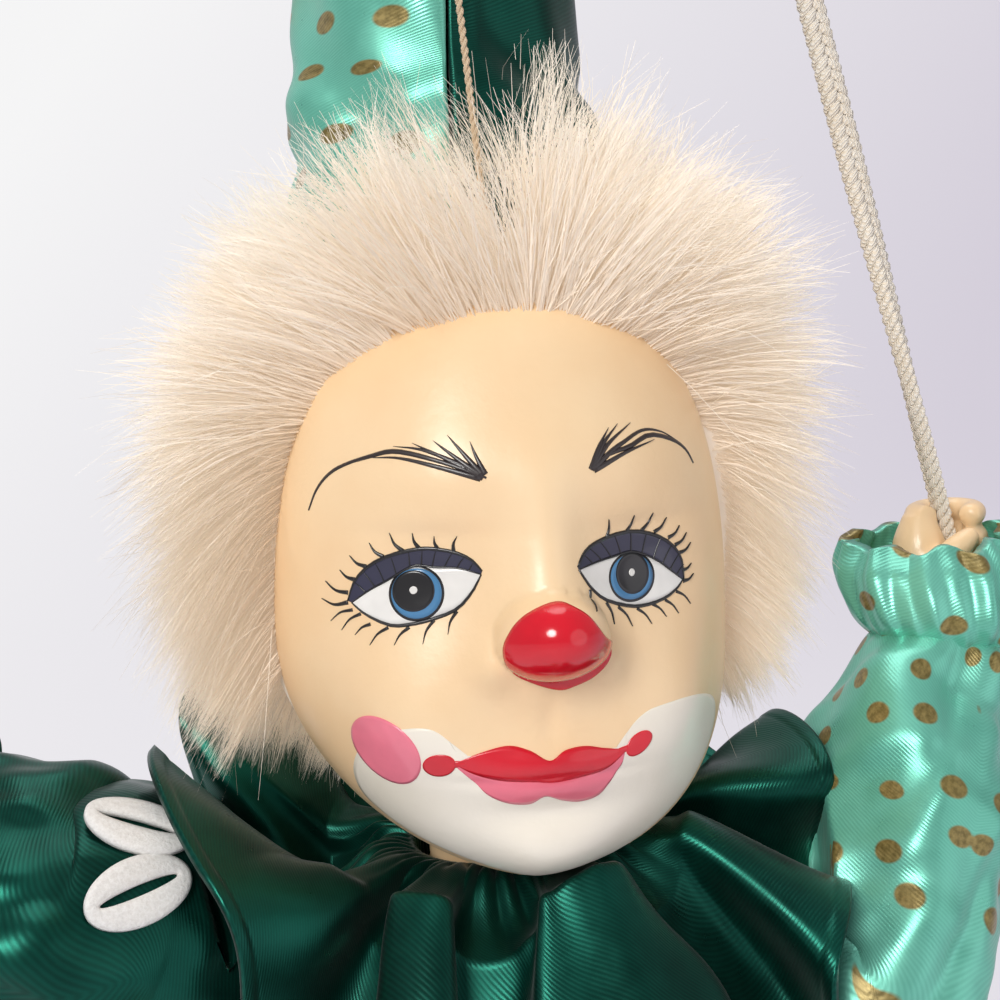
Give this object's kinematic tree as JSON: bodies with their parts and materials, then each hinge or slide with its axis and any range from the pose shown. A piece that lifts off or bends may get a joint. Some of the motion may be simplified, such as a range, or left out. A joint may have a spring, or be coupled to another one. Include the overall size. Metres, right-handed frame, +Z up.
{
  "type": "doll",
  "caption": "Porcelain-headed clown doll in a satin suit, gathered collar and fur wig, seated on a rope swing that hangs by a ring; head, hips, knees and swing move",
  "frame": {"origin": "top inside of the hanging ring, where a hook bears", "axes": "+Z up, -Y the way the doll faces, +X the doll's left"},
  "size_m": [0.1892, 0.14, 0.6159],
  "materials": {
    "painted_porcelain": "satin bisque with painted features",
    "green_satin": "shiny satin",
    "mint_satin": "shiny satin with gold ovals",
    "cream_fur": "long pile",
    "cotton_rope": "braided",
    "muslin": "plain weave",
    "felt": "felt",
    "white_felt": "felt",
    "cork_pate": "matt cork",
    "seat_pine": "satin varnish",
    "ring_brass": "polished"
  },
  "bodies": {
    "hanger": {"hanging_ring": "ring_brass"},
    "swing": {"top_knot": "cotton_rope", "rope_left": "cotton_rope", "rope_right": "cotton_rope", "split_knot_left": "cotton_rope", "split_knot_right": "cotton_rope", "strand_left_front": "cotton_rope", "strand_left_rear": "cotton_rope", "strand_right_front": "cotton_rope", "strand_right_rear": "cotton_rope", "seat_knot_left_front": "cotton_rope", "seat_knot_left_rear": "cotton_rope", "seat_knot_right_front": "cotton_rope", "seat_knot_right_rear": "cotton_rope", "seat_board": "seat_pine", "stuffed_body": "muslin", "suit_left_half": "green_satin", "suit_right_half": "mint_satin", "collar": "green_satin", "shoulder_plate": "painted_porcelain", "neck_washer": "felt", "arm_left": "muslin", "arm_right": "muslin", "sleeve_left": "mint_satin", "sleeve_right": "green_satin", "cuff_left": "mint_satin", "cuff_right": "green_satin", "hand_left": "painted_porcelain", "hand_right": "painted_porcelain", "shoulder_oval_upper": "white_felt", "shoulder_oval_lower": "white_felt"},
    "head": {"head_shell": "painted_porcelain", "crown_pate": "cork_pate", "fur_wig": "cream_fur", "hat_mint_panel": "mint_satin", "hat_green_panel": "green_satin", "hat_pompon": "cream_fur", "head_string": "cotton_rope", "neck_pin": "ring_brass"},
    "left_thigh": {"thigh_left": "green_satin"},
    "right_thigh": {"thigh_right": "mint_satin"},
    "left_shin": {"trouser_shin_left": "green_satin", "leg_left": "painted_porcelain", "ankle_frill_left": "mint_satin"},
    "right_shin": {"trouser_shin_right": "mint_satin", "leg_right": "painted_porcelain", "ankle_frill_right": "green_satin"}
  },
  "joints": [
    {"name": "swing_pivot", "type": "hinge", "parent": "hanger", "child": "swing", "pos_m": [0, 0, -0.0244], "axis": [1, 0, 0], "range_deg": [-20, 20]},
    {"name": "neck_turn", "type": "hinge", "parent": "swing", "child": "head", "pos_m": [0, 0, -0.4264], "axis": [0, 0, 1], "range_deg": [-30, 30]},
    {"name": "left_hip", "type": "hinge", "parent": "swing", "child": "left_thigh", "pos_m": [0.018, -0.003, -0.5179], "axis": [-1, 0, 0], "range_deg": [0, 30]},
    {"name": "right_hip", "type": "hinge", "parent": "swing", "child": "right_thigh", "pos_m": [-0.018, -0.003, -0.5179], "axis": [-1, 0, 0], "range_deg": [0, 30]},
    {"name": "left_knee", "type": "hinge", "parent": "left_thigh", "child": "left_shin", "pos_m": [0.02, -0.059, -0.5209], "axis": [-1, 0, 0], "range_deg": [-20, 45]},
    {"name": "right_knee", "type": "hinge", "parent": "right_thigh", "child": "right_shin", "pos_m": [-0.02, -0.059, -0.5209], "axis": [-1, 0, 0], "range_deg": [-20, 45]}
  ]
}
